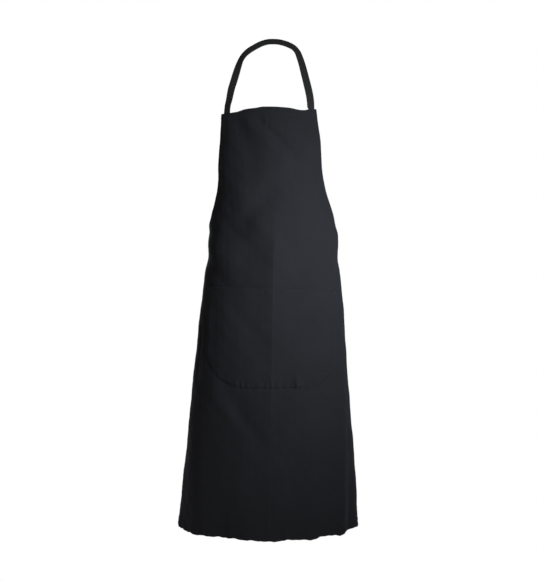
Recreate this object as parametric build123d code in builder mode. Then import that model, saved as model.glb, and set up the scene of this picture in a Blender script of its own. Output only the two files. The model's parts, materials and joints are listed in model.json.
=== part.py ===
from build123d import *
import os
from math import cos, hypot, pi, sin

# A full-length bib apron as it is worn: neck tape, bib, skirt with one wide
# pocket, and waist ties knotted in a bow at the back. Millimetres, +Z up.
# The wearer stands in the middle and the front of the apron faces -Y. The
# origin is where the apron hangs: the underside of the neck tape's top centre.

# --- the cloth, measured flat ---
apron_length = 1105  # bib top edge to skirt hem
bib_height = 316  # bib top edge down to the corners that carry the ties
armhole_start = 175  # bib top edge down to where the armhole curve begins
bib_top_width = 270  # edge to edge along the bib top
bib_low_width = 304  # the same where the armhole curve begins
tie_level_width = 620  # between the two tie corners
hem_width = 700  # along the skirt hem
cloth_thickness = 0.8

# --- the shape it is worn over: drop below the bib top, half width, half depth, set-back ---
chest_drop = 171
hip_drop = 471
thigh_drop = 721
knee_drop = 900
bib_top_form = (160, 125, 25)
chest_form = (160, 120, 9)
waist_form = (167, 112, 1)
hip_form = (184, 118, 0)
thigh_form = (209, 134, 0)
knee_form = (225, 143, 0)
hem_form = (239, 150, 0)

# --- how it hangs ---
neck_drop = 193  # neck tape's underside down to the bib top edge
front_reach = 130  # neck tape's top centre forward to the front of the skirt

# --- turned hems and the threads that hold them ---
top_hem_depth = 18
side_hem_depth = 12
bottom_hem_depth = 22
layer_gap = 0.3  # air between two layers of cloth
thread_width = 0.8
thread_height = 0.35
thread_inset = 1.5  # thread line in from the hem's inner fold
seam_gap = 1.0  # between neighbouring hems at a corner

# --- pocket ---
pocket_drop = 465  # bib top edge down to the pocket's mouth
pocket_height = 252
pocket_half_width = 168
pocket_corner_width = 100
pocket_corner_height = 93
pocket_hem_depth = 25
pocket_seam_inset = 3  # thread line in from the pocket's edge
bartack_width = 10
bartack_height = 4
bartack_thickness = 0.9

# --- blank label sewn inside the bib top ---
label_width = 63
label_height = 16
label_thickness = 0.5

# --- neck tape: the loop's middle line in its own leaning plane ---
tape_width = 20
tape_thickness = 1.2
tape_spread = 111  # half the distance between the tape's two ends
left_shoulder = (-92, 78)  # across, and up from the bend line
right_shoulder = (101, 78)
left_turn = (-72, 52)  # across, and down from the loop's top
right_turn = (74, 22)
left_crown = -22  # where the level top begins and ends
right_crown = 36
straight_rise = 8  # upright run at each end of the loop
loop_bends = (40, 150, 80, 50, 80, 45, 150, 40)  # radii along the loop, from left to right
sewn_length = 38  # tape lapped over the inside of the bib
hinge_rise = 11  # bib top edge up to the line where the tape bends
hinge_slit = 1.0  # free length of tape left out each side of a bend
strap_tack_width = 14

# --- waist ties and bow ---
tie_height = 22
tie_thickness = 1.2
tie_sewn_reach = 32  # how far the sewn end laps forward from the corner
tie_clearance = 0.4  # between the ties and the knot
knot_width = 26
knot_depth = 16
knot_height = 24
knot_round = 6
bow_length = 95
bow_height = 22
bow_gap = 1  # loop's inner end to the knot
bow_thickness = 6
bow_droop = 8  # degrees each bow loop hangs below level
tail_length = 190
tail_splay = 9  # degrees each tail leans out
tail_gap = 4  # between the two tails at the top
knot_setting = 2  # how far the knot sinks onto the ties

# --- places worked out from the sizes above ---
bib_top_z = -neck_drop
armhole_z = bib_top_z - armhole_start
tie_z = bib_top_z - bib_height
hem_z = bib_top_z - apron_length
pocket_top_z = bib_top_z - pocket_drop
pocket_bottom_z = pocket_top_z - pocket_height
hinge_z = bib_top_z + hinge_rise
hem_inset = cloth_thickness + layer_gap
tape_inset = hem_inset + cloth_thickness + layer_gap
far = 400  # past anything that a cut has to reach
clear_front = -front_reach - 80
angle_step = 0.002  # radians, for measuring the cloth round an oval

sections = [
    (0, *bib_top_form),
    (chest_drop, *chest_form),
    (bib_height, *waist_form),
    (hip_drop, *hip_form),
    (thigh_drop, *thigh_form),
    (knee_drop, *knee_form),
    (apron_length, *hem_form),
]


def wrap_angle(half_width, half_depth, flat):
    # the angle round an oval at which this much cloth has gone by
    angle = 0.0
    used = 0.0
    while used < flat:
        used += angle_step * hypot(half_width * cos(angle), half_depth * sin(angle))
        angle += angle_step
    return angle


def edge_y(form, flat_width):
    # how far back the cloth's edge reaches on one of the sections
    half_width, half_depth, set_back = form
    angle = wrap_angle(half_width, half_depth, flat_width / 2)
    return set_back + half_depth * (1 - cos(angle)) - front_reach


def form_y(form, x, inset):
    # the front of a section, at this distance from the middle
    half_width, half_depth, set_back = form
    level = (1 - (x / (half_width - inset)) ** 2) ** 0.5
    return set_back + half_depth - (half_depth - inset) * level - front_reach


def worn_form(inset):
    # the solid inside the cloth's outer face, less an even inset
    with BuildPart() as form:
        for drop, half_width, half_depth, set_back in sections:
            centre = (0, set_back + half_depth - front_reach, bib_top_z - drop)
            with BuildSketch(Plane(centre)):
                Ellipse(half_width - inset, half_depth - inset)
        loft()
    return form.part


def layer(inset, thickness, region):
    # a layer of the worn shape, kept only inside the region
    with BuildPart() as sheet:
        add(worn_form(inset))
        add(worn_form(inset + thickness), mode=Mode.SUBTRACT)
        add(region, mode=Mode.INTERSECT)
    return sheet.part


def save(part, label):
    part.label = label
    export_step(part, f"parts/{label}.step")


bib_top_back = edge_y(bib_top_form, bib_top_width)
armhole_back = edge_y(chest_form, bib_low_width)
tie_back = edge_y(waist_form, tie_level_width)
hem_back = edge_y(hem_form, hem_width)


def side_cut(inset):
    # the cut of the cloth seen from the side, drawn in from its edge: the skirt,
    # the armhole curve taken out of its corner, then the bib
    with BuildSketch(Plane.YZ) as cut:
        with BuildLine():
            Polyline(
                (clear_front, armhole_z),
                (tie_back - inset, armhole_z),
                (tie_back - inset, tie_z),
                (hem_back - inset, hem_z),
                (clear_front, hem_z),
                close=True,
            )
        make_face()
        with Locations((tie_back, armhole_z)):
            Ellipse(
                tie_back - armhole_back + inset,
                armhole_z - tie_z + inset,
                mode=Mode.SUBTRACT,
            )
        with BuildLine():
            Polyline(
                (clear_front, bib_top_z),
                (bib_top_back - inset, bib_top_z),
                (armhole_back - inset, armhole_z),
                (clear_front, armhole_z),
                close=True,
            )
        make_face()
    return cut


def border(side, outer, inner, top, bottom):
    # one side's border, between two distances in from the edge and two heights
    with BuildPart() as region:
        extrude(side_cut(inner).sketch, amount=side * far)
        extrude(side_cut(outer).sketch, amount=side * far, mode=Mode.SUBTRACT)
        split(bisect_by=Plane.XY.offset(top), keep=Keep.BOTTOM)
        split(bisect_by=Plane.XY.offset(bottom), keep=Keep.TOP)
    return region.part


def belt(top, bottom):
    # the side cut between two heights
    with BuildPart() as region:
        extrude(side_cut(0).sketch, amount=far, both=True)
        split(bisect_by=Plane.XY.offset(top), keep=Keep.BOTTOM)
        split(bisect_by=Plane.XY.offset(bottom), keep=Keep.TOP)
    return region.part


os.makedirs("parts", exist_ok=True)

# Main cloth
front_panel = layer(0, cloth_thickness, belt(bib_top_z, hem_z))
save(front_panel, "front_panel")

# Turned hems: a second layer inside the first
top_hem_z = bib_top_z - top_hem_depth
bottom_hem_z = hem_z + bottom_hem_depth
save(layer(hem_inset, cloth_thickness, belt(bib_top_z, top_hem_z)), "top_hem")
save(layer(hem_inset, cloth_thickness, belt(bottom_hem_z, hem_z)), "bottom_hem")

# Thread lines stand just proud of the cloth's outer face
thread_out = -(layer_gap / 2 + thread_height)
top_thread_z = top_hem_z + thread_inset
bottom_thread_z = bottom_hem_z - thread_inset
top_line = belt(top_thread_z + thread_width, top_thread_z)
bottom_line = belt(bottom_thread_z, bottom_thread_z - thread_width)
save(layer(thread_out, thread_height, top_line), "top_hem_stitching")
save(layer(thread_out, thread_height, bottom_line), "bottom_hem_stitching")

thread_in = side_hem_depth - thread_inset
for name, side in (("left", -1), ("right", 1)):
    armhole = border(side, side_hem_depth, 0, top_hem_z - seam_gap, tie_z)
    skirt_side = border(side, side_hem_depth, 0, tie_z - seam_gap, bottom_hem_z + seam_gap)
    save(layer(hem_inset, cloth_thickness, armhole), f"armhole_hem_{name}")
    save(layer(hem_inset, cloth_thickness, skirt_side), f"side_hem_{name}")
    armhole_line = border(
        side, thread_in, thread_in - thread_width, top_hem_z - seam_gap, tie_z
    )
    side_line = border(
        side,
        thread_in,
        thread_in - thread_width,
        tie_z - side_hem_depth - seam_gap,
        bottom_hem_z + seam_gap,
    )
    save(layer(thread_out, thread_height, armhole_line), f"armhole_stitching_{name}")
    save(layer(thread_out, thread_height, side_line), f"side_hem_stitching_{name}")


def pocket_outline(inset, top):
    # the pocket seen from the front, drawn in from its edge, as a solid region
    width = pocket_half_width - inset
    corner_z = pocket_bottom_z + pocket_corner_height
    floor_z = pocket_bottom_z + inset
    flat = pocket_half_width - pocket_corner_width
    with BuildPart() as region:
        with BuildSketch(Plane.XZ.offset(-clear_front)):
            with BuildLine():
                Polyline((-width, corner_z), (-width, top), (width, top), (width, corner_z))
                EllipticalCenterArc(
                    (flat, corner_z), width - flat, corner_z - floor_z, arc_size=-90
                )
                Line((flat, floor_z), (-flat, floor_z))
                EllipticalCenterArc(
                    (-flat, corner_z),
                    width - flat,
                    corner_z - floor_z,
                    start_angle=270,
                    arc_size=-90,
                )
            make_face()
        extrude(amount=clear_front)
    return region.part


# Pocket: one more layer outside the skirt, with its mouth hem turned behind it
mouth_hem_out = -(layer_gap + cloth_thickness)
pocket_out = -(2 * layer_gap + 2 * cloth_thickness)
with BuildPart() as mouth_band:
    add(pocket_outline(0, pocket_top_z))
    split(bisect_by=Plane.XY.offset(pocket_top_z - pocket_hem_depth), keep=Keep.TOP)
save(layer(pocket_out, cloth_thickness, pocket_outline(0, pocket_top_z)), "pocket")
save(layer(mouth_hem_out, cloth_thickness, mouth_band.part), "pocket_hem")

# Pocket seam and mouth threads, and the bar tacks that stop its corners tearing
seam_out = pocket_out - layer_gap / 2 - thread_height
seam_top = pocket_top_z - bartack_height - seam_gap
with BuildPart() as seam_region:
    add(pocket_outline(pocket_seam_inset, seam_top))
    add(
        pocket_outline(pocket_seam_inset + thread_width, seam_top),
        mode=Mode.SUBTRACT,
    )
save(layer(seam_out, thread_height, seam_region.part), "pocket_stitching")

mouth_thread_z = pocket_top_z - pocket_hem_depth + thread_inset
mouth_inset = pocket_seam_inset + thread_width + seam_gap
with BuildPart() as mouth_region:
    add(pocket_outline(mouth_inset, pocket_top_z))
    split(bisect_by=Plane.XY.offset(mouth_thread_z + thread_width), keep=Keep.BOTTOM)
    split(bisect_by=Plane.XY.offset(mouth_thread_z), keep=Keep.TOP)
save(layer(seam_out, thread_height, mouth_region.part), "pocket_mouth_stitching")


def front_patch(x, z, width, height):
    # an upright block in front of the wearer, centred here
    with BuildPart() as block:
        with BuildSketch(Plane.XZ.offset(-clear_front)):
            with Locations((x, z)):
                Rectangle(width, height)
        extrude(amount=clear_front)
    return block.part


tack_out = pocket_out - layer_gap / 2 - bartack_thickness
tack_x = pocket_half_width - bartack_width / 2 - seam_gap
tack_z = pocket_top_z - bartack_height / 2
for name, side in (("left", -1), ("right", 1)):
    patch = front_patch(side * tack_x, tack_z, bartack_width, bartack_height)
    save(layer(tack_out, bartack_thickness, patch), f"pocket_bartack_{name}")

# Label on the inner face of the top hem
label_patch = front_patch(0, bib_top_z - top_hem_depth / 2, label_width, label_height)
save(layer(tape_inset, label_thickness, label_patch), "label")

# Neck tape: two sewn ends on the bib, which stand up to the line where it bends
tape_y = form_y(bib_top_form, tape_spread, tape_inset + tape_thickness / 2)
strap_tack_z = bib_top_z - sewn_length / 2
strap_tack_out = thread_out - bartack_thickness
for name, side in (("left", -1), ("right", 1)):
    lap_z = bib_top_z - sewn_length / 2
    lap = front_patch(side * tape_spread, lap_z, tape_width, sewn_length)
    with BuildSketch(Plane((side * tape_spread, tape_y, hinge_z - hinge_slit))) as bend:
        Rectangle(tape_width, tape_thickness)
    with BuildPart() as strap_end:
        add(layer(tape_inset, tape_thickness, lap))
        loft([strap_end.faces().sort_by(Axis.Z)[-1], bend.sketch.face()], ruled=True)
    save(strap_end.part, f"strap_end_{name}")
    tack = front_patch(side * tape_spread, strap_tack_z, strap_tack_width, bartack_height)
    save(layer(strap_tack_out, bartack_thickness, tack), f"strap_bartack_{name}")

# Neck tape: the free loop, flat in the plane that leans back to the neck
lean = Vector(0, -tape_y, -hinge_z)
loop_top = lean.length + tape_width / 2
loop_line = [
    (-tape_spread, hinge_slit),
    (-tape_spread, straight_rise),
    left_shoulder,
    (left_turn[0], loop_top - left_turn[1]),
    (left_crown, loop_top),
    (right_crown, loop_top),
    (right_turn[0], loop_top - right_turn[1]),
    right_shoulder,
    (tape_spread, straight_rise),
    (tape_spread, hinge_slit),
]
loop_plane = Plane(
    origin=(0, tape_y, hinge_z), x_dir=(1, 0, 0), z_dir=Vector(1, 0, 0).cross(lean)
)
with BuildPart() as neck_strap:
    with BuildSketch(loop_plane):
        with BuildLine():
            FilletPolyline(*loop_line, radius=loop_bends)
        trace(line_width=tape_width)
    extrude(amount=tape_thickness / 2, both=True)
save(neck_strap.part, "neck_strap")

# Waist ties: sewn ends inside the skirt's corners, then a taut run round the back
tie_top = tie_z - seam_gap
tie_middle = tie_top - tie_height / 2
back_y = waist_form[2] + 2 * waist_form[1] - front_reach
knot_reach = knot_width / 2 + tie_clearance


def tie_block(x_near, x_far, y_near, y_far):
    # the tie's height, over a range of width and depth
    with BuildPart() as block:
        with BuildSketch(Plane.XY.offset(tie_middle)):
            with Locations(((x_near + x_far) / 2, (y_near + y_far) / 2)):
                Rectangle(abs(x_far - x_near), y_far - y_near)
        extrude(amount=tie_height / 2, both=True)
    return block.part


for name, side in (("left", -1), ("right", 1)):
    sewn = tie_block(side, side * far, tie_back - tie_sewn_reach, tie_back - hinge_slit)
    save(layer(tape_inset, tie_thickness, sewn), f"tie_end_{name}")
    free = tie_block(side * knot_reach, side * far, tie_back + hinge_slit, back_y)
    save(layer(tape_inset, tie_thickness, free), f"tie_{name}")
    tack_y = tie_back - tie_sewn_reach / 2
    tack = tie_block(side, side * far, tack_y, tack_y + bartack_height)
    save(layer(strap_tack_out, bartack_thickness, tack), f"tie_bartack_{name}")

# Bow: a knot, two drooping loops and two hanging tails
knot_y = back_y - tape_inset - tie_thickness + knot_depth / 2 - knot_setting
with BuildPart() as bow_knot:
    with BuildSketch(Plane.XY.offset(tie_middle - knot_height / 2)):
        with Locations((0, knot_y)):
            Rectangle(knot_width, knot_depth)
    extrude(amount=knot_height)
    fillet(bow_knot.edges(), knot_round)
save(bow_knot.part, "bow_knot")

tail_offset = (tie_height + tail_gap) / 2
tail_top = tie_middle - max(knot_height, tie_height) / 2 - hinge_slit
for name, side in (("left", -1), ("right", 1)):
    droop = pi * bow_droop / 180
    with BuildPart() as bow_loop:
        bow_plane = Plane(
            origin=(side * knot_reach, knot_y, tie_middle),
            x_dir=(side * cos(droop), 0, -sin(droop)),
            z_dir=(0, -side, 0),
        )
        with BuildSketch(bow_plane):
            with Locations((bow_gap + bow_length / 2, 0)):
                SlotOverall(bow_length, bow_height)
        extrude(amount=bow_thickness / 2, both=True)
    save(bow_loop.part, f"bow_loop_{name}")
    splay = pi * tail_splay / 180
    with BuildPart() as tail:
        tail_plane = Plane(
            origin=(side * tail_offset, knot_y, tail_top),
            x_dir=(side * sin(splay), 0, -cos(splay)),
            z_dir=(0, -1, 0),
        )
        with BuildSketch(tail_plane):
            Rectangle(tail_length, tie_height, align=(Align.MIN, Align.CENTER))
        extrude(amount=tie_thickness / 2, both=True)
        split(bisect_by=Plane.XY.offset(tail_top - hinge_slit), keep=Keep.BOTTOM)
    save(tail.part, f"tail_{name}")

print("neck hinge y, z", round(tape_y, 2), round(hinge_z, 2))
print("tie hinge y, z", round(tie_back, 2), round(tie_middle, 2))
print("tail hinge y, z", round(knot_y, 2), round(tail_top, 2))
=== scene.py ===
import json
import bpy
import numpy as np
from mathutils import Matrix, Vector


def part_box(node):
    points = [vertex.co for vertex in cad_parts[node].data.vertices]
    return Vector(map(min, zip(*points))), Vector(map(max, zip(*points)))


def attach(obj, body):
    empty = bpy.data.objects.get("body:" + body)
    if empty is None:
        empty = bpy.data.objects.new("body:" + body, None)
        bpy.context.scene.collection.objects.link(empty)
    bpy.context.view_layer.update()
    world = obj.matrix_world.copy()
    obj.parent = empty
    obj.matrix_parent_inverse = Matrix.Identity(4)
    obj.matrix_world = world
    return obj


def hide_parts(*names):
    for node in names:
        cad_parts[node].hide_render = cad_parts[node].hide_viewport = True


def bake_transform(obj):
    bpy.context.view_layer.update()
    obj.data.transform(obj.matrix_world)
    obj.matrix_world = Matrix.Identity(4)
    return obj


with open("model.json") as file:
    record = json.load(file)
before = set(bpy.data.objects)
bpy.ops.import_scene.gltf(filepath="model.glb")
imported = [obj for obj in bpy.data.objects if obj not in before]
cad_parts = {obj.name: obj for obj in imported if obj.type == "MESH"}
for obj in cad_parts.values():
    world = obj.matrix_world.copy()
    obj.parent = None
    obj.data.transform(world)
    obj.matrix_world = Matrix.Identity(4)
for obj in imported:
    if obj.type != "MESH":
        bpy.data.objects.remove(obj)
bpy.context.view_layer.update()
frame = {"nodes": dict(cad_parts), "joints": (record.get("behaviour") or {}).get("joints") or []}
print("frame loaded,", len(frame["nodes"]), "nodes")

panelLow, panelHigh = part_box("front_panel")
bibTopZ = panelHigh.z
frontY = panelLow.y

# The shape that the cloth is worn over, by drop below the bib's top edge
wornShape = {
    "drops": (0, 0.171, 0.316, 0.471, 0.721, 0.900, 1.105),
    "halfWidths": (0.160, 0.161, 0.167, 0.1855, 0.2095, 0.225, 0.238),
    "halfDepths": (0.125, 0.120, 0.112, 0.118, 0.134, 0.143, 0.150),
    "setBacks": (0.025, 0.009, 0.001, 0, 0, 0, 0),
    # the whole body leans a little to one side at the waist
    "leanDrops": (0, 0.05, 0.08, 0.14, 0.20, 0.26, 0.30, 0.34, 0.38, 0.465, 0.55,
                  0.70, 0.85, 1.0, 1.105),
    "leans": (0.0015, 0.003, 0.004, 0.004, 0.0067, 0.0097, 0.0105, 0.0122, 0.0110, 0.0105, 0.0085,
              0.0055, 0.0034, 0.0002, -0.0025),
}

clothLength = panelHigh.z - panelLow.z
clothCut = {
    "bibHeight": 0.316,
    "armholeStart": 0.175,
    "bibTopWidth": 0.270,
    "bibLowWidth": 0.304,
    "tieLevelWidth": 0.620,
    "hemWidth": 0.700,
    "thickness": 0.0007,
    "hemGap": 0.0002,
    "topHem": 0.018,
    "sideHem": 0.012,
    "bottomHem": 0.022,
    "threadInset": 0.0015,  # from a hem's thread to its inner edge
    "bibSwell": 0.0025,  # the bib's sides bow out a little
    "armholeTurn": 0.75,  # below 1 the armhole keeps to the bib for longer
    "columns": 221,
    "rowStep": 0.0035,
}


def smoothStep(low, high, x):
    t = np.clip((x - low) / (high - low), 0, 1)
    return t * t * (3 - 2 * t)


def hump(x, middle, width):
    return np.exp(-(((x - middle) / width) ** 2))


def unit(vectors):
    return vectors / np.linalg.norm(vectors, axis=-1, keepdims=True)


def runAlong(points):
    # distance along a line of points, from its start
    return np.concatenate([[0], np.cumsum(np.linalg.norm(np.diff(points, axis=0), axis=1))])


def curveThrough(xs, ys, x):
    # a smooth curve through a few given points
    xs = np.asarray(xs, float)
    ys = np.asarray(ys, float)
    slopes = np.gradient(ys, xs)
    x = np.clip(x, xs[0], xs[-1])
    i = np.clip(np.searchsorted(xs, x, side="right") - 1, 0, len(xs) - 2)
    span = xs[i + 1] - xs[i]
    t = (x - xs[i]) / span
    start = (2 * t**3 - 3 * t**2 + 1) * ys[i] + (t**3 - 2 * t**2 + t) * span * slopes[i]
    return start + (3 * t**2 - 2 * t**3) * ys[i + 1] + (t**3 - t**2) * span * slopes[i + 1]


def shapeAt(drop):
    return [
        curveThrough(wornShape["drops"], wornShape[key], drop)
        for key in ("halfWidths", "halfDepths", "setBacks")
    ]


# Flat distance round the body against angle, at many heights
tableDrops = np.linspace(0, clothLength, 222)
tableAngles = np.linspace(0, 3.1, 621)
tableFlats = np.linspace(0, 0.42, 421)
tableWidths, tableDepths, _ = shapeAt(tableDrops)
middleAngles = (tableAngles[1:] + tableAngles[:-1]) / 2
pace = np.hypot(
    tableWidths[:, None] * np.cos(middleAngles), tableDepths[:, None] * np.sin(middleAngles)
)
arcTable = np.zeros((len(tableDrops), len(tableAngles)))
arcTable[:, 1:] = np.cumsum(pace, axis=1) * (tableAngles[1] - tableAngles[0])
angleTable = np.array([np.interp(tableFlats, row, tableAngles) for row in arcTable])


def lookUp(table, drop, column, columnEnd):
    rows, columns = table.shape
    r = np.clip(drop / clothLength, 0, 1) * (rows - 1)
    c = np.clip(column / columnEnd, 0, 1) * (columns - 1)
    r0 = np.minimum(r.astype(int), rows - 2)
    c0 = np.minimum(c.astype(int), columns - 2)
    fr, fc = r - r0, c - c0
    near = table[r0, c0] * (1 - fc) + table[r0, c0 + 1] * fc
    far = table[r0 + 1, c0] * (1 - fc) + table[r0 + 1, c0 + 1] * fc
    return near * (1 - fr) + far * fr


def wrapAngle(across, drop):
    drop, across = np.broadcast_arrays(drop, across)
    return np.sign(across) * lookUp(angleTable, drop, np.abs(across), tableFlats[-1])


def flatReach(angle, drop):
    drop, angle = np.broadcast_arrays(drop, angle)
    return np.sign(angle) * lookUp(arcTable, drop, np.abs(angle), tableAngles[-1])


def backOf(drop, flatWidth):
    # how far back an edge lies, for a flat width at a height
    _, depth, setBack = shapeAt(np.array([drop]))
    angle = wrapAngle(np.array([flatWidth / 2]), np.array([drop]))
    return float((setBack + depth * (1 - np.cos(angle)))[0])


edgeBacks = {
    "top": backOf(0.0, clothCut["bibTopWidth"]),
    "armhole": backOf(clothCut["armholeStart"], clothCut["bibLowWidth"]),
    "tie": backOf(clothCut["bibHeight"], clothCut["tieLevelWidth"]),
    "hem": backOf(clothLength, clothCut["hemWidth"]),
}


def edgePoints():
    # the cloth's side edge in flat measure, from bib top to hem, evenly spaced
    start, bottom = clothCut["armholeStart"], clothCut["bibHeight"]
    bib = np.linspace(0, 1, 60)
    turn = np.linspace(0, np.pi / 2, 800)[1:]
    skirt = np.linspace(0, 1, 200)[1:]
    drops = np.concatenate([
        bib * start,
        start + (bottom - start) * np.sin(turn),
        bottom + skirt * (clothLength - bottom),
    ])
    backs = np.concatenate([
        edgeBacks["top"] + bib * (edgeBacks["armhole"] - edgeBacks["top"]),
        edgeBacks["tie"]
        - (edgeBacks["tie"] - edgeBacks["armhole"]) * np.cos(turn) ** clothCut["armholeTurn"],
        edgeBacks["tie"] + skirt * (edgeBacks["hem"] - edgeBacks["tie"]),
    ])
    _, depth, setBack = shapeAt(drops)
    angle = np.arccos(np.clip(1 - (backs - setBack) / depth, -1, 1))
    reach = flatReach(angle, drops)
    reach = reach + clothCut["bibSwell"] * np.sin(np.pi * np.clip(drops / start, 0, 1))
    run = np.concatenate([[0], np.cumsum(np.hypot(np.diff(reach), np.diff(drops)))])
    cornerRun = run[len(bib) + len(turn) - 1]
    bibRows = int(cornerRun / clothCut["rowStep"])
    skirtRows = int((run[-1] - cornerRun) / clothCut["rowStep"])
    even = np.concatenate([
        np.linspace(0, cornerRun, bibRows + 1),
        np.linspace(cornerRun, run[-1], skirtRows + 1)[1:],
    ])
    return np.interp(even, run, reach), np.interp(even, run, drops), bibRows


edgeReach, edgeDrop, cornerRow = edgePoints()
print("cloth edge,", len(edgeDrop), "rows")


def halfCut(drop):
    return np.interp(drop, edgeDrop, edgeReach)


# ---- relief of the cloth: pressed crease, drag folds, flutes and puckers ----

creaseLine = {"across": 0.003, "height": 0.0055, "reach": 0.032, "rubbed": 0.0016}

# each fold: across and drop of its two ends, half width, height
softFolds = [
    (-0.018, 0.045, 0.058, 0.112, 0.010, -0.0030),  # drag line under the bib's middle
    (-0.050, 0.050, 0.016, 0.112, 0.016, 0.0026),
    (0.020, 0.030, 0.085, 0.085, 0.018, 0.0012),
    (-0.010, 0.024, -0.011, 0.064, 0.003, 0.0007),
    (-0.085, 0.020, -0.055, 0.110, 0.020, -0.0022),
    (-0.010, 0.225, -0.066, 0.285, 0.022, -0.0030),
    (-0.045, 0.285, -0.008, 0.335, 0.026, 0.0030),
    (-0.120, 0.190, -0.060, 0.240, 0.030, 0.0018),
    (-0.130, 0.300, -0.030, 0.400, 0.026, -0.0022),
    (-0.235, 0.325, -0.120, 0.395, 0.022, 0.0028),
    (-0.250, 0.360, -0.150, 0.440, 0.018, -0.0020),
    (0.110, 0.185, 0.190, 0.300, 0.018, 0.0024),
    (0.235, 0.325, 0.130, 0.400, 0.024, 0.0026),
    (0.250, 0.365, 0.160, 0.450, 0.018, -0.0018),
    (0.030, 0.300, 0.100, 0.330, 0.030, 0.0014),
    (0.004, 0.345, 0.004, 0.440, 0.042, 0.0030),  # the cloth peaks along its middle
    (-0.150, 0.355, -0.060, 0.375, 0.030, 0.0022),
    (0.225, 0.318, 0.305, 0.338, 0.014, 0.0034),  # the ties tug at the two corners
    (-0.225, 0.298, -0.305, 0.316, 0.012, 0.0026),
    (-0.200, 0.560, -0.204, 0.700, 0.006, 0.0022),
    (-0.212, 0.575, -0.218, 0.690, 0.008, -0.0018),
    (-0.100, 0.505, -0.040, 0.590, 0.022, -0.0016),
    (0.050, 0.530, 0.120, 0.510, 0.018, 0.0012),
    (0.060, 0.490, 0.110, 0.486, 0.006, 0.0009),
    (-0.110, 0.735, -0.030, 0.850, 0.020, -0.0026),
    (-0.140, 0.745, -0.060, 0.860, 0.020, 0.0020),
    (0.180, 0.700, 0.215, 0.690, 0.008, 0.0014),
]

# long soft folds that grow towards the hem: across, half width, height, start
flutes = [
    (-0.330, 0.034, 0.0045, 0.55), (-0.262, 0.030, -0.0035, 0.60), (-0.196, 0.022, 0.004, 0.66),
    (-0.120, 0.030, -0.003, 0.70), (-0.055, 0.024, 0.002, 0.72), (0.062, 0.022, -0.002, 0.70),
    (0.108, 0.018, 0.0025, 0.66), (0.160, 0.022, -0.003, 0.62), (0.212, 0.014, 0.0042, 0.60),
    (0.246, 0.018, -0.0045, 0.58), (0.300, 0.026, 0.005, 0.50),
]

# short puckers that the hem's thread pulls up: across, half width, height, rise
hemPuckers = [
    (-0.292, 0.006, 0.0016, 0.050), (-0.245, 0.005, -0.0014, 0.040),
    (-0.186, 0.0045, -0.0020, 0.055), (-0.176, 0.0045, 0.0018, 0.050),
    (-0.112, 0.004, -0.0016, 0.040), (-0.103, 0.004, 0.0013, 0.036),
    (-0.048, 0.005, -0.0009, 0.030), (0.010, 0.006, 0.0010, 0.035),
    (0.036, 0.0035, -0.0018, 0.050), (0.045, 0.0035, 0.0016, 0.046),
    (0.060, 0.004, -0.0014, 0.040), (0.098, 0.005, 0.0010, 0.030), (0.140, 0.005, -0.0012, 0.036),
    (0.186, 0.004, -0.0018, 0.045), (0.197, 0.004, 0.0016, 0.050), (0.222, 0.0035, -0.0016, 0.050),
    (0.232, 0.004, 0.0014, 0.040), (0.270, 0.006, -0.0012, 0.040),
]

pocketCut = {
    "halfWidth": (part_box("pocket")[1].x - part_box("pocket")[0].x) / 2,
    "mouth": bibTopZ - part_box("pocket")[1].z,
    "floor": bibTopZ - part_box("pocket")[0].z,
    "cornerWidth": 0.100,
    "cornerHeight": 0.093,
    "mouthTilt": 0.030,  # the mouth runs a little downhill
    "hemDepth": 0.025,
    "thickness": 0.0007,
    "seamInset": 0.003,
    "mouthThread": 0.0235,
    "flat": (0.385, 0.252),
    "flatShare": 0.93,  # its rounded corners cut off the rest
}

# creases under the mouth: across, depth below it, half length, height
mouthCreases = [
    (-0.118, -0.004, 0.020, 0.0014), (-0.020, 0.010, 0.005, -0.0022),
    (0.022, 0.004, 0.012, 0.0012), (0.052, 0.020, 0.022, 0.0014),
    (0.060, 0.013, 0.020, -0.0011), (0.030, 0.030, 0.010, 0.0010),
]


def pocketFloor(x):
    # the pocket's lower outline, seen from the front
    flat = pocketCut["halfWidth"] - pocketCut["cornerWidth"]
    t = np.clip((np.abs(x) - flat) / pocketCut["cornerWidth"], 0, 1)
    corner = pocketCut["floor"] - pocketCut["cornerHeight"]
    return corner + pocketCut["cornerHeight"] * np.sqrt(1 - t**2)


def alongFold(across, drop, fold):
    a0, d0, a1, d1, width, height = fold
    length = np.hypot(a1 - a0, d1 - d0)
    ux, uy = (a1 - a0) / length, (d1 - d0) / length
    along = (across - a0) * ux + (drop - d0) * uy
    away = -(across - a0) * uy + (drop - d0) * ux
    past = np.maximum(0, np.maximum(-along, along - length))
    # widest and highest in the middle of its length
    swell = 0.7 + 0.3 * np.sin(np.pi * np.clip(along / length, 0, 1))
    return 1.5 * height * swell * np.exp(-((away / width) ** 2) - (past / (2.2 * width)) ** 2)


relief = {
    "fluteGrowth": 1.25,
    "creaseStart": (0.20, 0.40),
    "creaseFade": (0.66, 0.80),
    "creaseLost": 0.55,
    "hemRise": 0.0005,  # turned edges stand a little proud
    "threadSink": 0.0004,
    "threadDent": 0.0012,
    "hemRipple": 0.00035,
    "pocketPucker": 0.0006,
    "furrow": 0.0022,
}


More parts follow.
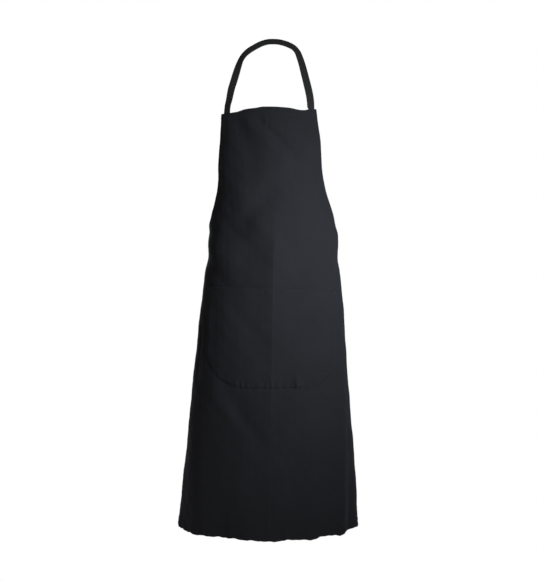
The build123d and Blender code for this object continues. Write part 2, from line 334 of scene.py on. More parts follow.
def clothLift(across, drop):
    # how far the cloth stands off the plain worn shape
    lift = np.zeros(np.broadcast(across, drop).shape)
    for fold in softFolds:
        lift = lift + alongFold(across, drop, fold)
    for centre, width, height, start in flutes:
        grow = smoothStep(start, clothLength + 0.1, drop) * relief["fluteGrowth"]
        lift = lift + height * grow * hump(across, centre, width)
    for centre, width, height, rise in hemPuckers:
        fade = smoothStep(clothLength - rise * 1.4, clothLength - 0.004, drop)
        lean = (clothLength - drop) * 0.12 * np.sign(height)
        lift = lift + height * fade * hump(across - lean, centre, width)

    # pressed fold down the middle, sharp at its top
    strength = smoothStep(*relief["creaseStart"], drop)
    strength = strength * (1 - relief["creaseLost"] * smoothStep(*relief["creaseFade"], drop))
    away = np.abs(across - creaseLine["across"] - 0.0012 * np.sin(drop * 23))
    lift = lift + creaseLine["height"] * strength * np.exp(-away / creaseLine["reach"])

    # slight unevenness all over
    waves = (
        0.00110 * np.sin(across * 41 + drop * 17 + 1.3) * np.sin(drop * 33 - across * 12)
        + 0.00045 * np.sin(across * 118 - drop * 54 + 0.4) * np.sin(drop * 71 + 2.1)
        + 0.00018 * np.sin(across * 231 + drop * 190) * np.sin(drop * 207 - across * 88 + 0.8)
    )
    lift = lift + waves

    # turned edges, with the thread sunk into them
    inFromSide = (halfCut(drop) - np.abs(across)) * 0.9
    inFromTop = drop
    inFromHem = clothLength - drop
    for inward, depth in (
        (inFromTop, clothCut["topHem"]),
        (inFromSide, clothCut["sideHem"]),
        (inFromHem, clothCut["bottomHem"]),
    ):
        onHem = 1 - smoothStep(depth - 0.002, depth + 0.002, inward)
        dent = hump(inward, depth - clothCut["threadInset"], relief["threadDent"])
        lift = lift + relief["hemRise"] * onHem - relief["threadSink"] * dent
    # the hem's thread draws it into slanting ripples
    rope = np.sin((across * 1.0 + inFromHem * 0.9) * 420 + 2.0 * np.sin(across * 31))
    lift = lift + relief["hemRipple"] * rope * (1 - smoothStep(0.012, 0.030, inFromHem))

    # puckers under the pocket's floor seam
    x = np.abs(across) * 0.93
    belowFloor = drop - pocketFloor(x)
    ripple = np.sin(across * 330 + 1.1 * np.sin(across * 83)) + 0.5 * np.sin(across * 190 + 1)
    puckered = hump(belowFloor, 0, 0.014) * (1 - smoothStep(0.075, 0.135, np.abs(across)))
    lift = lift + relief["pocketPucker"] * ripple * puckered
    # a shallow furrow beside the pocket's right-hand corner
    furrow = smoothStep(0.070, 0.095, across) * (1 - smoothStep(0.150, 0.168, across))
    return lift - relief["furrow"] * hump(belowFloor, 0.011, 0.005) * furrow


# the bib's top edge and the hem aren't quite level
topEdge = {
    "across": (-0.135, -0.100, -0.084, -0.067, -0.045, -0.033, -0.022, 0.0, 0.023, 0.050,
               0.088, 0.102, 0.110, 0.135),
    "rise": (-0.0080, -0.0075, -0.0062, -0.0024, -0.0006, 0.0002, 0.0022, 0.0026, 0.0024, 0.0012,
             -0.0025, -0.0004, 0.0030, 0.0052),
}
hemEdge = {
    "across": (-0.35, -0.27, -0.18, -0.10, -0.03, 0.01, 0.06, 0.12, 0.16, 0.20, 0.23, 0.28, 0.35),
    "rise": (0.005, 0.000, 0.001, 0.002, -0.001, -0.003, 0.0, -0.002, 0.002, -0.002, 0.003,
             0.002, 0.006),
}


def edgeRise(across, drop):
    top = curveThrough(topEdge["across"], topEdge["rise"], across)
    hem = curveThrough(hemEdge["across"], hemEdge["rise"], across)
    hem = hem + 0.0008 * np.sin(across * 140 + 1) + 0.0005 * np.sin(across * 277)
    nearHem = smoothStep(clothLength - 0.10, clothLength, drop)
    return top * (1 - smoothStep(0, 0.11, drop)) + hem * nearHem


def onCloth(across, drop, lift):
    # a point on the worn cloth, standing off its outer face by lift
    across, drop, lift = np.broadcast_arrays(
        np.asarray(across, float), np.asarray(drop, float), np.asarray(lift, float)
    )
    angle = wrapAngle(across, drop)
    width, depth, setBack = shapeAt(drop)
    nx, ny = depth * np.sin(angle), -width * np.cos(angle)
    size = np.hypot(nx, ny)
    off = lift + clothLift(across, drop)
    lean = curveThrough(wornShape["leanDrops"], wornShape["leans"], drop)
    x = width * np.sin(angle) + lean + off * nx / size
    y = frontY + setBack + depth * (1 - np.cos(angle)) + off * ny / size
    z = bibTopZ - drop + edgeRise(across, drop)
    return np.stack([x, y, z], axis=-1)


# ---- meshes ----


def newMesh(name, points, faces, flat=None, wear=None):
    # flat is each point's place on the cut cloth, in metres; wear fades the dye
    mesh = bpy.data.meshes.new(name)
    mesh.from_pydata(points.tolist(), [], faces)
    mesh.polygons.foreach_set("use_smooth", [True] * len(mesh.polygons))
    if flat is not None:
        corners = np.zeros(len(mesh.loops), dtype=np.int32)
        mesh.loops.foreach_get("vertex_index", corners)
        layer = mesh.uv_layers.new(name="flatCloth")
        layer.data.foreach_set("uv", flat[corners].ravel())
    if wear is not None:
        mesh.attributes.new("wear", "FLOAT", "POINT").data.foreach_set("value", wear)
    piece = bpy.data.objects.new(name, mesh)
    bpy.context.collection.objects.link(piece)
    return piece


def gridFaces(rows, columns, start, flip):
    r, c = np.meshgrid(np.arange(rows - 1), np.arange(columns - 1), indexing="ij")
    a = (start + r * columns + c).ravel()
    quads = np.stack([a, a + columns, a + columns + 1, a + 1], axis=1)
    return quads[:, ::-1] if flip else quads


def thickSheet(name, outer, inner, across, drop, wear=None):
    # two faces of cloth and the rim that joins them
    rows, columns = across.shape
    count = rows * columns
    points = np.concatenate([outer.reshape(-1, 3), inner.reshape(-1, 3)])
    flat = np.stack([across.ravel(), drop.ravel()], axis=1)
    ring = np.concatenate([
        np.arange(columns),
        np.arange(1, rows) * columns + columns - 1,
        (rows - 1) * columns + np.arange(columns - 2, -1, -1),
        np.arange(rows - 2, 0, -1) * columns,
    ])
    following = np.roll(ring, -1)
    rim = np.stack([ring, following, following + count, ring + count], axis=1)
    faces = np.concatenate([
        gridFaces(rows, columns, 0, False), gridFaces(rows, columns, count, True), rim
    ])
    if wear is not None:
        wear = np.concatenate([wear.ravel(), wear.ravel()])
    return newMesh(name, points, faces.tolist(), np.concatenate([flat, flat]), wear)


def clothLayer(name, across, drop, lift, thickness, wear=None):
    outer = onCloth(across, drop, lift)
    inner = onCloth(across, drop, lift - thickness)
    return thickSheet(name, outer, inner, across, drop, wear)


# ---- materials ----


class Nodes:
    # one material, with short ways to add its nodes and links
    def __init__(self, name):
        self.material = bpy.data.materials.new(name)
        self.material.use_nodes = True
        self.tree = self.material.node_tree
        self.shader = self.tree.nodes["Principled BSDF"]

    def add(self, kind, settings=None, inputs=None):
        node = self.tree.nodes.new(kind)
        for key, value in (settings or {}).items():
            setattr(node, key, value)
        for key, value in (inputs or {}).items():
            if isinstance(value, bpy.types.NodeSocket):
                self.tree.links.new(value, node.inputs[key])
            else:
                node.inputs[key].default_value = value
        return node

    def link(self, socket, target):
        self.tree.links.new(socket, self.shader.inputs[target])

    def fix(self, **levels):
        for name, level in levels.items():
            self.shader.inputs[name.replace("_", " ")].default_value = level

    def noise(self, place, scale, detail, roughness=0.5):
        inputs = {"Vector": place, "Scale": scale, "Detail": detail, "Roughness": roughness}
        return self.add("ShaderNodeTexNoise", inputs=inputs)

    def bands(self, place, direction, scale, distortion=0.0, detail=2.0):
        return self.add(
            "ShaderNodeTexWave",
            {"wave_type": "BANDS", "bands_direction": direction},
            {"Vector": place, "Scale": scale, "Distortion": distortion, "Detail": detail},
        ).outputs["Fac"]

    def mix(self, share, low, high):
        inputs = {0: share, 6: low, 7: high}
        return self.add("ShaderNodeMix", {"data_type": "RGBA"}, inputs).outputs[2]

    def spread(self, value, low, high, start=0.0, end=1.0):
        return self.add("ShaderNodeMapRange", inputs={
            "Value": value, "From Min": start, "From Max": end, "To Min": low, "To Max": high,
        }).outputs[0]

    def combine(self, kind, operation, inputs):
        return self.add(kind, {"operation": operation}, inputs).outputs[0]

    def bump(self, strength, distance, height, under=None):
        inputs = {"Strength": strength, "Distance": distance, "Height": height}
        if under:
            inputs["Normal"] = under
        return self.add("ShaderNodeBump", inputs=inputs).outputs[0]


weaveLook = {
    "bandScale": 0.314,  # divided by the distance between two bands
    "wanderScale": 90.0,
    "wander": 0.0006,
    "pickShare": 0.35,
    "fibreScale": 900.0,
    "cloudScale": 7.0,
    "threadLight": (0.55, 1.30),
    "speckle": (0.72, 1.35),
    "fibreDepth": 0.00012,
}


def threadWeave(nodes, flat, look):
    # diagonal twill lines with threads crossing them, in real thread counts
    turn = (0, 0, look["turn"])
    turned = nodes.add("ShaderNodeMapping", inputs={"Vector": flat, "Rotation": turn})
    wander = nodes.noise(flat, weaveLook["wanderScale"], 3.0).outputs["Color"]
    bent = nodes.combine("ShaderNodeVectorMath", "MULTIPLY_ADD", {
        0: wander, 1: (weaveLook["wander"], weaveLook["wander"], 0), 2: turned.outputs["Vector"],
    })
    ribs = nodes.bands(bent, "X", weaveLook["bandScale"] / look["ribPitch"])
    picks = nodes.bands(flat, "Y", weaveLook["bandScale"] / look["threadPitch"])
    inputs = {0: picks, 1: weaveLook["pickShare"], 2: ribs}
    return nodes.combine("ShaderNodeMath", "MULTIPLY_ADD", inputs)


def clothMaterial(name, look):
    nodes = Nodes(name)
    flat = nodes.add("ShaderNodeUVMap", {"uv_map": "flatCloth"}).outputs["UV"]
    weave = threadWeave(nodes, flat, look)
    fibres = nodes.noise(flat, weaveLook["fibreScale"], 4.0, 0.7).outputs["Fac"]
    clouds = nodes.noise(flat, weaveLook["cloudScale"], 5.0, 0.6).outputs["Fac"]
    worn = nodes.add("ShaderNodeAttribute", {"attribute_name": "wear"}).outputs["Fac"]

    dyed = nodes.mix(clouds, look["deep"], look["base"])
    highest = 1 + weaveLook["pickShare"]
    threadLight = nodes.spread(weave, *weaveLook["threadLight"], end=highest)
    speckle = nodes.spread(fibres, *weaveLook["speckle"], 0.3, 0.75)
    both = nodes.combine("ShaderNodeMath", "MULTIPLY", {0: threadLight, 1: speckle})
    shaded = nodes.combine("ShaderNodeVectorMath", "SCALE", {0: dyed, 3: both})
    nodes.link(nodes.mix(worn, shaded, look["faded"]), "Base Color")
    nodes.link(nodes.spread(clouds, *look["rough"]), "Roughness")
    weaveBump = nodes.bump(look["weaveBump"], look["threadPitch"] * 0.35, weave)
    nodes.link(nodes.bump(0.35, weaveLook["fibreDepth"], fibres, weaveBump), "Normal")
    nodes.fix(Specular_IOR_Level=look["gloss"], Sheen_Weight=look["sheen"],
              Sheen_Roughness=0.45, Sheen_Tint=look["sheenTint"])
    return nodes.material


twill = clothMaterial("blackCottonTwill", {
    "turn": 0.96,
    "ribPitch": 0.0011,
    "threadPitch": 0.0006,
    "deep": (0.0068, 0.0068, 0.0074, 1),
    "base": (0.0112, 0.0112, 0.0124, 1),
    "faded": (0.024, 0.025, 0.029, 1),
    "rough": (0.84, 0.95),
    "weaveBump": 0.6,
    "gloss": 0.07,
    "sheen": 0.025,
    "sheenTint": (0.75, 0.82, 1.0, 1),
})
tapeCloth = clothMaterial("wovenBlackTape", {
    "turn": 0.78,
    "ribPitch": 0.0018,
    "threadPitch": 0.0009,
    "deep": (0.0085, 0.0083, 0.0076, 1),
    "base": (0.0150, 0.0147, 0.0132, 1),
    "faded": (0.028, 0.028, 0.025, 1),
    "rough": (0.80, 0.92),
    "weaveBump": 0.8,
    "gloss": 0.10,
    "sheen": 0.04,
    "sheenTint": (1.0, 0.97, 0.9, 1),
})
labelCloth = clothMaterial("blankLabelSatin", {
    "turn": 0.0,
    "ribPitch": 0.0005,
    "threadPitch": 0.0004,
    "deep": (0.040, 0.041, 0.044, 1),
    "base": (0.055, 0.056, 0.060, 1),
    "faded": (0.09, 0.09, 0.095, 1),
    "rough": (0.45, 0.60),
    "weaveBump": 0.3,
    "gloss": 0.4,
    "sheen": 0.05,
    "sheenTint": (1, 1, 1, 1),
})


def threadMaterial(name, look):
    # sewing thread: two plies twisted round each other
    nodes = Nodes(name)
    place = nodes.add("ShaderNodeTexCoord").outputs["Object"]
    twist = nodes.bands(place, "DIAGONAL", look["twist"], 1.5)
    nodes.link(nodes.mix(twist, look["deep"], look["base"]), "Base Color")
    nodes.link(nodes.bump(0.5, 0.0001, twist), "Normal")
    nodes.fix(Roughness=0.75, Specular_IOR_Level=0.12, Sheen_Weight=0.03)
    return nodes.material


sewingThread = threadMaterial("blackSewingThread", {
    "twist": 420.0,
    "deep": (0.0055, 0.0056, 0.0066, 1),
    "base": (0.0125, 0.0127, 0.0150, 1),
})
print("materials ready")


def finishPiece(piece, material, body, nodes):
    piece.data.materials.append(material)
    if body:
        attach(piece, body)
    if nodes:
        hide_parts(*nodes)
    return piece


# ---- the cloth itself ----


def makePanel():
    columns = np.linspace(-1, 1, clothCut["columns"])
    across = edgeReach[:, None] * columns[None, :]
    drop = np.repeat(edgeDrop[:, None], clothCut["columns"], axis=1)
    crease = hump(across, creaseLine["across"], creaseLine["rubbed"]) * smoothStep(0.3, 0.42, drop)
    crease = crease * (1 - 0.6 * smoothStep(0.66, 0.85, drop))
    rub = np.exp(-(clothLength - drop) / 0.0012) + np.exp(-drop / 0.0012)
    side = np.exp(-(halfCut(drop) - np.abs(across)) / 0.0015)
    wear = np.clip(0.14 * crease + 0.12 * rub + 0.10 * side, 0, 0.3)
    panel = clothLayer("frontPanel", across, drop, 0.0, clothCut["thickness"], wear)
    area = float(np.trapz(2 * edgeReach, edgeDrop))
    return finishPiece(panel, twill, "apron", ["front_panel"]), area


def inwardFrom(side, first, last, insets):
    # lines that run beside the cloth's side edge, at these distances in from it
    a, d = edgeReach[first:last], edgeDrop[first:last]
    slopeA, slopeD = np.gradient(a), np.gradient(d)
    size = np.hypot(slopeA, slopeD)
    across = a[:, None] - (slopeD / size)[:, None] * insets[None, :]
    drop = d[:, None] + (slopeA / size)[:, None] * insets[None, :]
    return side * across, drop


# what lies inside the hems is this far in from the cloth's outer face
hemsDepth = 2 * clothCut["thickness"] + 2 * clothCut["hemGap"]


def makeHems():
    hems = []
    inside = -hemsDepth / 2
    bottomStart = clothLength - clothCut["bottomHem"]
    wide = np.linspace(-1, 1, clothCut["columns"])
    for name, node, top, bottom, rows in (
        ("topHem", "top_hem", 0.0003, clothCut["topHem"], 7),
        ("bottomHem", "bottom_hem", bottomStart, clothLength - 0.0003, 8),
    ):
        drop = np.linspace(top, bottom, rows)[:, None] + np.zeros((1, len(wide)))
        across = (halfCut(drop) - 0.0004) * wide[None, :]
        hem = clothLayer(name, across, drop, inside, clothCut["thickness"])
        hems.append(finishPiece(hem, twill, "apron", [node]))
    insets = np.linspace(0.0004, clothCut["sideHem"], 6)
    topRow = int(np.searchsorted(edgeDrop, clothCut["topHem"] + 0.001))
    hemRow = int(np.searchsorted(edgeDrop, bottomStart - 0.001))
    for name, side in (("left", -1), ("right", 1)):
        for kind, node, first, last in (
            ("armholeHem", "armhole_hem", topRow, cornerRow - 1),
            ("sideHem", "side_hem", cornerRow + 1, hemRow),
        ):
            across, drop = inwardFrom(side, first, last, insets)
            if side > 0:
                across, drop = across[:, ::-1], drop[:, ::-1]
            hem = clothLayer(f"{kind}_{name}", across, drop, inside, clothCut["thickness"])
            hems.append(finishPiece(hem, twill, "apron", [f"{node}_{name}"]))
    return hems


panel, panelArea = makePanel()
hems = makeHems()
print("panel and hems made, flat area", round(panelArea, 3))


# ---- pocket ----


def pocketGrid(columnsCount, rowsCount, endDrop=None):
    # evenly across, but closer together near the rounded corners
    u = np.sin(np.linspace(-np.pi / 2, np.pi / 2, columnsCount))
    x = u * pocketCut["halfWidth"]
    mouth = mouthDrop(x) + 0.0011 * np.sin(x * 52 + 1.0) + 0.0007 * np.sin(x * 133)
    floor = pocketFloor(x) if endDrop is None else mouth + endDrop
    v = np.linspace(0, 1, rowsCount)[:, None]
    drop = mouth[None, :] + v * (floor - mouth)[None, :]
    width, _, _ = shapeAt(drop)
    across = flatReach(np.arcsin(x[None, :] / width), drop)
    return across, drop, np.broadcast_to(x[None, :], drop.shape)


def pocketInward(x, drop):
    sideAway = pocketCut["halfWidth"] - np.abs(x)
    step = 0.0005
    slope = (pocketFloor(np.abs(x) + step) - pocketFloor(np.abs(x) - step)) / (2 * step)
    floorAway = (pocketFloor(x) - drop) / np.hypot(1, slope)
    return np.maximum(np.minimum(sideAway, floorAway), 0)


pocketRelief = {
    "edge": 0.0021,
    "swell": 0.0016,
    "mouthSwell": 0.0014,
    "hemRise": 0.0004,
    "flatCorner": 0.0006,
    "rolledCorner": 0.0009,
    "gather": 0.0008,
    "pinch": 0.0050,
}


def mouthDrop(x):
    return pocketCut["mouth"] + pocketCut["mouthTilt"] * x


def pocketLift(x, drop):
    # how far the pocket's outer face stands off the panel
    inward = pocketInward(x, drop)
    mouthAway = drop - mouthDrop(x)
    lift = pocketRelief["edge"] + pocketRelief["swell"] * smoothStep(0.004, 0.060, inward)
    nearMouth = (1 - smoothStep(0, 0.05, mouthAway)) * smoothStep(0.02, 0.12, inward)
    lift = lift + pocketRelief["mouthSwell"] * nearMouth
    # each hump: across what, its middle, its width and its height
    for away, middle, width, height in (
        (inward, 0, 0.0012, -0.0008),  # the pressed edge
        (inward, pocketCut["seamInset"], 0.0013, -0.0007),
        (inward, 0.0075, 0.0030, 0.0005),
        (mouthAway, pocketCut["mouthThread"], 0.0013, -0.0005),
    ):
        lift = lift + height * hump(away, middle, width)
    lift = lift + pocketRelief["hemRise"] * (1 - smoothStep(0.020, 0.026, mouthAway))
    # the left corner lies flatter than the rest, and the right one rolls up beside its seam
    nearFloor = smoothStep(0.11, 0.04, pocketCut["floor"] - drop)
    leftCorner = smoothStep(0.06, 0.10, -x) * nearFloor
    rightCorner = smoothStep(0.06, 0.10, x) * nearFloor
    lift = lift - pocketRelief["flatCorner"] * leftCorner * hump(inward, 0, 0.012)
    roll = hump(inward, 0.0020, 0.0016) - hump(inward, 0.0062, 0.0026)
    lift = lift + pocketRelief["rolledCorner"] * rightCorner * roll
    # the floor seam gathers the pocket into small folds
    gather = np.sin(x * 400 + 1.4 * np.sin(x * 97)) * hump(inward, 0.006, 0.009)
    low = smoothStep(0.06, 0.03, np.abs(pocketCut["floor"] - drop))
    gather = gather * low * (1 - smoothStep(0.08, 0.14, np.abs(x)))
    lift = lift + pocketRelief["gather"] * gather
    # one pinched fold rises from the floor seam
    low = drop > pocketCut["floor"] - 0.07
    pinch = hump(x, 0.066, 0.0065) * hump(inward, 0.016, 0.018) * low
    lift = lift + pocketRelief["pinch"] * pinch
    # short creases just under the mouth
    for centre, depth, width, height in mouthCreases:
        lift = lift + height * hump(x, centre, width) * hump(mouthAway, depth, 0.0028)
    return lift


def makePocket():
    across, drop, x = pocketGrid(171, 91)
    lift = pocketLift(x, drop)
    inward = pocketInward(x, drop)
    wear = 0.06 * np.exp(-inward / 0.0012) + 0.03 * np.exp(-np.abs(drop - mouthDrop(x)) / 0.0012)
    wear = wear + 0.12 * hump(across, creaseLine["across"], creaseLine["rubbed"])
    wear = np.clip(wear, 0, 0.5)
    pocket = clothLayer("pocketCloth", across, drop, lift, pocketCut["thickness"], wear)
    finishPiece(pocket, twill, "apron", ["pocket"])
    across, drop, x = pocketGrid(121, 9, pocketCut["hemDepth"])
    # a little narrower and lower than the mouth, so that its edges don't show
    across, drop = across * 0.985, drop + 0.0004
    under = pocketLift(x, drop - 0.0004) - pocketCut["thickness"] - clothCut["hemGap"]
    hem = clothLayer("pocketHem", across, drop, under, 0.0005)
    finishPiece(hem, twill, "apron", ["pocket_hem"])


makePocket()
print("pocket made")


# ---- stitching ----

stitch = {"step": 0.0032, "length": 0.0025, "width": 0.00075, "height": 0.00045}


def evenAlong(line, step):
    run = runAlong(line)
    marks = np.arange(step / 2, run[-1], step)
    return np.stack([np.interp(marks, run, line[:, k]) for k in range(line.shape[1])], axis=1)


def stitchRow(line, liftOf):
    # points and faces of one row of stitches along a line in flat measure
    middles = evenAlong(np.asarray(line), stitch["step"])
    ahead = unit(np.gradient(middles, axis=0))
    # a stitch is five rings of six points: place along it, share of its full thickness
    rings = [(-0.5, 0.25), (-0.32, 0.85), (0.0, 1.0), (0.32, 0.85), (0.5, 0.25)]
    around = np.linspace(0, 2 * np.pi, 6, endpoint=False)
    starts = (np.arange(len(middles)) * 30)[:, None, None]
    points = []
    for place, fat in rings:
        for turn in around:
            sideways = np.cos(turn) * stitch["width"] / 2 * fat
            a = middles[:, 0] + ahead[:, 0] * place * stitch["length"] - ahead[:, 1] * sideways
            d = middles[:, 1] + ahead[:, 1] * place * stitch["length"] + ahead[:, 0] * sideways
            rise = np.sin(turn) * stitch["height"] / 2 * fat + (fat - 0.6) * 0.0002
            points.append(onCloth(a, d, liftOf(middles[:, 0], middles[:, 1]) + rise))
    points = np.stack(points, axis=1)
    faces = []
    for ring in range(len(rings) - 1):
        for k in range(6):
            n = (k + 1) % 6
            faces.append([ring * 6 + k, ring * 6 + n, ring * 6 + 6 + n, ring * 6 + 6 + k])
    ends = [[5, 4, 3, 2, 1, 0], [24, 25, 26, 27, 28, 29]]
    sides, caps = starts + np.array(faces), starts + np.array(ends)
    return points.reshape(-1, 3), sides.reshape(-1, 4), caps.reshape(-1, 6)


def makeStitching(name, lines, liftOf, nodes):
    allPoints, allFaces, start = [], [], 0
    for line in lines:
        points, quads, caps = stitchRow(line, liftOf)
        allPoints.append(points)
        allFaces += (quads + start).tolist() + (caps + start).tolist()
        start += len(points)
    made = newMesh(name, np.concatenate(allPoints), allFaces)
    finishPiece(made, sewingThread, "apron", nodes)


def onPanelFace(across, drop):
    return np.full(across.shape, 0.0001)


def onPocketFace(across, drop):
    x = shapeAt(drop)[0] * np.sin(wrapAngle(across, drop))
    return pocketLift(x, drop) + 0.0001


def acrossAt(x, drop):
    # flat measure across the cloth, for a place seen from the front
    return flatReach(np.arcsin(x / shapeAt(drop)[0]), drop)


def levelLine(drop, reach):
    across = np.linspace(-reach, reach, 200)
    return np.stack([across, np.full(200, drop)], axis=1)


def sewEverything():
    threadInset = clothCut["threadInset"]
    topDrop = clothCut["topHem"] - threadInset
    bottomDrop = clothLength - clothCut["bottomHem"] + threadInset
    topLine = levelLine(topDrop, halfCut(topDrop) - 0.003)
    bottomLine = levelLine(bottomDrop, halfCut(bottomDrop) - 0.003)
    makeStitching("topHemStitching", [topLine], onPanelFace, ["top_hem_stitching"])
    makeStitching("bottomHemStitching", [bottomLine], onPanelFace, ["bottom_hem_stitching"])
    inset = np.array([clothCut["sideHem"] - threadInset])
    topRow = int(np.searchsorted(edgeDrop, clothCut["topHem"]))
    hemRow = int(np.searchsorted(edgeDrop, bottomDrop))
    for name, side in (("left", -1), ("right", 1)):
        for kind, node, first, last in (
            ("armholeStitching", "armhole_stitching", topRow, cornerRow - 2),
            ("sideHemStitching", "side_hem_stitching", cornerRow + 4, hemRow),
        ):
            across, drop = inwardFrom(side, first, last, inset)
            line = np.concatenate([across, drop], axis=1)
            makeStitching(f"{kind}_{name}", [line], onPanelFace, [f"{node}_{name}"])

    # pocket: down one side, round the floor and up the other, then along the mouth
    inset = pocketCut["seamInset"]
    halfWidth, floor = pocketCut["halfWidth"], pocketCut["floor"]
    cornerWidth, cornerHeight = pocketCut["cornerWidth"], pocketCut["cornerHeight"]
    turn = np.linspace(0, np.pi / 2, 60)
    cornerX, cornerDrop = halfWidth - cornerWidth, floor - cornerHeight
    x = np.concatenate([
        np.full(60, halfWidth - inset),
        cornerX + (cornerWidth - inset) * np.cos(turn),
        np.linspace(cornerX, -cornerX, 80)[1:-1],
        -cornerX - (cornerWidth - inset) * np.sin(turn),
        np.full(60, inset - halfWidth),
    ])
    drop = np.concatenate([
        np.linspace(mouthDrop(halfWidth) + 0.002, cornerDrop, 61)[:-1],
        cornerDrop + (cornerHeight - inset) * np.sin(turn),
        np.full(78, floor - inset),
        cornerDrop + (cornerHeight - inset) * np.cos(turn),
        np.linspace(cornerDrop, mouthDrop(-halfWidth) + 0.002, 61)[1:],
    ])
    seam = np.stack([acrossAt(x, drop), drop], axis=1)
    makeStitching("pocketStitching", [seam], onPocketFace, ["pocket_stitching"])
    x = np.linspace(0.006 - halfWidth, halfWidth - 0.006, 200)
    drop = mouthDrop(x) + pocketCut["mouthThread"]
    mouth = np.stack([acrossAt(x, drop), drop], axis=1)
    makeStitching("pocketMouthStitching", [mouth], onPocketFace, ["pocket_mouth_stitching"])


sewEverything()


bartack = {
    "pocketSize": (0.009, 0.0032, 5),  # width, height, rows
    "pocketInset": 0.007,
    "pocketDrop": 0.004,
    "strapAcross": 0.121,
    "strapDrop": 0.0085,
    "strapSize": 0.012,
    "tieInset": 0.016,
    "tieDrop": 0.013,
    "tieSize": 0.016,
}


def tackLines(across, drop, width, height, rows):
    # close parallel rows
    return [
        np.array([(across - width / 2, drop + k), (across + width / 2, drop + k)])
        for k in np.linspace(-height / 2, height / 2, rows)
    ]


def crossedTack(across, drop, size):
    # a square's top and bottom, and a cross inside it
    half = size / 2
    left, right, top, bottom = across - half, across + half, drop - half, drop + half
    return tackLines(across, drop, size, size, 2) + [
        np.array([(left, top), (right, bottom)]), np.array([(right, top), (left, bottom)])
    ]


def makeBartacks():
    for name, side in (("left", -1), ("right", 1)):
        drop = np.array([mouthDrop(pocketCut["halfWidth"] * side) + bartack["pocketDrop"]])
        reach = float(acrossAt(pocketCut["halfWidth"] - bartack["pocketInset"], drop)[0])
        lines = tackLines(side * reach, drop[0], *bartack["pocketSize"])
        makeStitching(f"pocketBartack_{name}", lines, onPocketFace, [f"pocket_bartack_{name}"])
        lines = crossedTack(
            side * bartack["strapAcross"], bartack["strapDrop"], bartack["strapSize"])
        makeStitching(f"strapBartack_{name}", lines, onPanelFace, [f"strap_bartack_{name}"])
        lines = crossedTack(
            side * (clothCut["tieLevelWidth"] / 2 - bartack["tieInset"]),
            clothCut["bibHeight"] + bartack["tieDrop"], bartack["tieSize"])
        makeStitching(f"tieBartack_{name}", lines, onPanelFace, [f"tie_bartack_{name}"])


makeBartacks()
print("stitching done")


# ---- blank label inside the bib top, with the box of stitches that holds it ----

labelCut = {
    "across": 0.004,
    "width": 0.063,
    "top": 0.0012,
    "height": 0.0155,
    "thickness": 0.0004,
    "threadInset": 0.0015,
}


def makeLabel():
    left = labelCut["across"] - labelCut["width"] / 2
    right = labelCut["across"] + labelCut["width"] / 2
    top, bottom = labelCut["top"], labelCut["top"] + labelCut["height"]
    across, drop = np.meshgrid(np.linspace(left, right, 40), np.linspace(top, bottom, 10))
    label = clothLayer("blankLabel", across, drop, -hemsDepth, labelCut["thickness"])
    finishPiece(label, labelCloth, "apron", ["label"])
    top = top + labelCut["threadInset"]
    box = [
        np.array([(left, bottom), (left, top)]),
        np.array([(left, top), (right, top)]),
        np.array([(right, top), (right, bottom)]),
    ]
    makeStitching("labelStitching", box, onPanelFace, [])


makeLabel()


# ---- tapes ----


def smoothPath(points, count):
    # an even run of points on a smooth line through a few given ones
    points = np.asarray(points, float)
    run = runAlong(points[:, :3])
    fine = np.linspace(0, run[-1], count * 6)
    line = np.stack([curveThrough(run, column, fine) for column in points.T], axis=1)
    length = runAlong(line[:, :3])
    marks = np.linspace(0, length[-1], count)
    return np.stack([np.interp(marks, length, column) for column in line.T], axis=1)


tapeRing = 20  # points round a tape's section


def tapePiece(name, centres, sides, width, thickness, closed=False):
    # a flat woven tape swept along its middle line
    count = len(centres)
    if closed:
        ahead = np.roll(centres, -1, axis=0) - np.roll(centres, 1, axis=0)
    else:
        ahead = np.gradient(centres, axis=0)
    ahead = unit(ahead)
    sides = unit(sides - ahead * np.sum(sides * ahead, axis=1, keepdims=True))
    faceOut = np.cross(ahead, sides)
    around = np.linspace(0, 2 * np.pi, tapeRing, endpoint=False)
    w = np.sign(np.cos(around)) * np.abs(np.cos(around)) ** 0.35 * width / 2
    h = np.sign(np.sin(around)) * np.abs(np.sin(around)) ** 0.75 * thickness / 2
    # the woven edges are a little thicker, and worn paler
    outward = np.abs(w) * 2 / width
    h = h * (1 + 0.25 * smoothStep(0.75, 0.95, outward))
    points = (
        centres[:, None, :] + sides[:, None, :] * w[None, :, None]
        + faceOut[:, None, :] * h[None, :, None]
    )
    flat = np.stack(np.broadcast_arrays(w[None, :], runAlong(centres)[:, None]), axis=-1)
    last = count if closed else count - 1
    ring = tapeRing
    r, c = np.meshgrid(np.arange(last), np.arange(ring), indexing="ij")
    rNext, cNext = (r + 1) % count, (c + 1) % ring
    faces = np.stack([r * ring + c, r * ring + cNext, rNext * ring + cNext, rNext * ring + c], -1)
    faces = faces.reshape(-1, 4)[:, ::-1].tolist()
    if not closed:
        faces += [list(range(ring)), list(range(count * ring - 1, (count - 1) * ring - 1, -1))]
    wear = np.tile(0.35 * smoothStep(0.86, 1.0, outward), count)
    return newMesh(name, points.reshape(-1, 3), faces, flat.reshape(-1, 2), wear)


